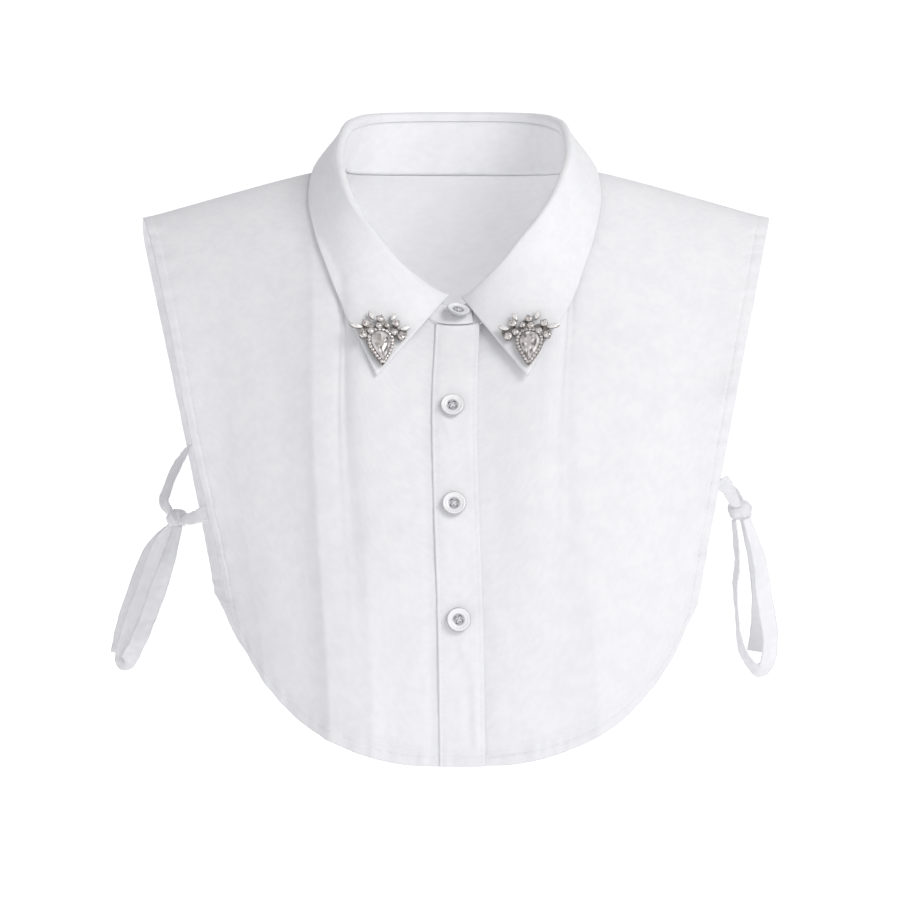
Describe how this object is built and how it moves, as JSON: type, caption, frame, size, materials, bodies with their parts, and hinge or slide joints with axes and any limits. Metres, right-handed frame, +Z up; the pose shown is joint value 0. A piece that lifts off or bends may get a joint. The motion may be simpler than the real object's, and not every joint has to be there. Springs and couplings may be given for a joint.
{
  "type": "detachable shirt collar",
  "caption": "Sleeveless cotton bib front and back with a pointed shirt collar, buttoned placket, jewelled collar points and side ties, in its worn form.",
  "frame": {"origin": "midway between the two points where the shoulder lines meet the neck seam, where the garment rests on its wearer", "axes": "+Z up along the wearer's neck, -Y to the front with the buttons, +X to the wearer's left"},
  "size_m": [0.3803, 0.2256, 0.3767],
  "materials": {
    "white_cotton": "matt plain-weave shirt cotton",
    "button_white": "semi-gloss resin",
    "bright_silver": "polished plated metal",
    "clear_crystal": "foil-backed cut crystal, modelled as an opaque glossy solid"
  },
  "bodies": {
    "root": {"back": "white_cotton", "front_left": "white_cotton", "front_right": "white_cotton", "placket": "white_cotton", "collar_stand": "white_cotton", "collar_leaf": "white_cotton", "button_1": "button_white", "button_2": "button_white", "button_3": "button_white", "button_4": "button_white", "brooch_right_setting": "bright_silver", "brooch_left_setting": "bright_silver", "brooch_right_stone": "clear_crystal", "brooch_left_stone": "clear_crystal", "right_back_tie": "white_cotton", "right_front_tie": "white_cotton", "right_tie_knot": "white_cotton", "right_tie_loop": "white_cotton", "right_tie_tail": "white_cotton", "left_back_tie": "white_cotton", "left_front_tie": "white_cotton", "left_tie_knot": "white_cotton", "left_tie_loop": "white_cotton", "left_tie_tail": "white_cotton"}
  },
  "joints": []
}
